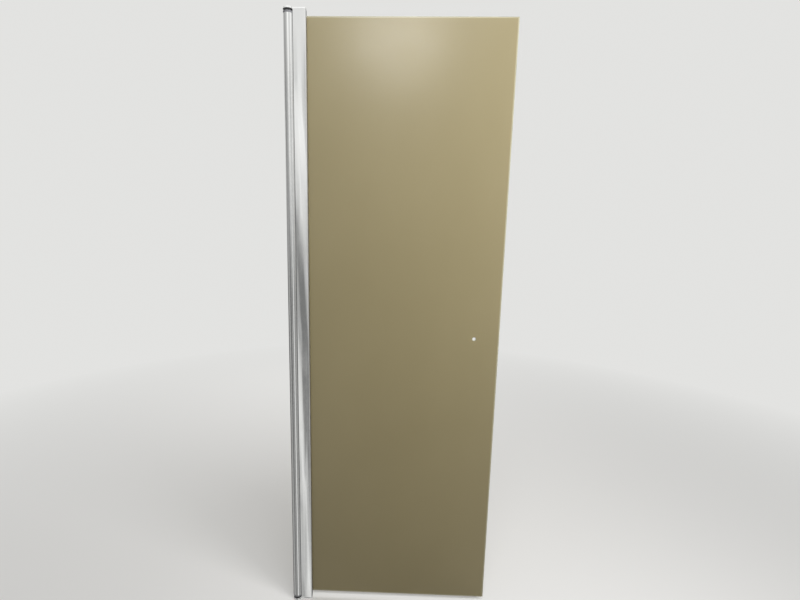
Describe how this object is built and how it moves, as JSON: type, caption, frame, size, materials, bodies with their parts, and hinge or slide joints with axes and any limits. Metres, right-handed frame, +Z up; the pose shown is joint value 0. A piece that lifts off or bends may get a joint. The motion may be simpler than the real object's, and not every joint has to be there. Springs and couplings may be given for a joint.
{
  "type": "pivot shower door",
  "caption": "Frameless pivot shower door: a satin glass leaf in a round chrome tube that turns in a flat hinge post, folded flat with an adjustable wall channel.",
  "frame": {"origin": "middle of the folded door's footprint at the lower end plates' underside", "axes": "+Z up along the hinge axis, +X from the hinge axis across the glass to its free edge, +Y from the visible front to the back"},
  "size_m": [0.695, 0.038, 1.983],
  "materials": {
    "satin_glass": "acid-etched satin, slightly green in the edge",
    "chrome": "mirror chrome on aluminium",
    "aluminium": "mill finish, extruded",
    "seal": "soft vinyl, matte",
    "steel": "stainless, turned",
    "black_plastic": "moulded, fine texture",
    "grey_plastic": "moulded, fine texture"
  },
  "bodies": {
    "wall_side": {"wall_channel": "aluminium", "clinch_nuts": "steel", "lock_screws": "steel"},
    "post": {"hinge_post": "chrome", "wiper_seal": "seal", "bottom_end_plate": "chrome", "top_end_plate": "chrome", "bottom_plate_screws": "steel", "top_plate_screws": "steel", "bottom_pivot_pin": "steel", "top_pivot_pin": "steel"},
    "leaf": {"pivot_tube": "chrome", "glass_panel": "satin_glass", "gasket_front": "seal", "gasket_back": "seal", "edge_strip": "seal", "bottom_bush": "grey_plastic", "top_bush": "grey_plastic", "bottom_collar": "black_plastic", "top_collar": "black_plastic", "bottom_channel_cover": "grey_plastic", "top_channel_cover": "grey_plastic"}
  },
  "joints": [
    {"name": "wall_adjust", "type": "slide", "parent": "wall_side", "child": "post", "axis": [-1, 0, 0], "range_m": [0, 0.015]},
    {"name": "door_swing", "type": "hinge", "parent": "post", "child": "leaf", "pos_m": [-0.3325, -0.004, 0.9915], "axis": [0, 0, 1], "range_deg": [0, 210]}
  ]
}
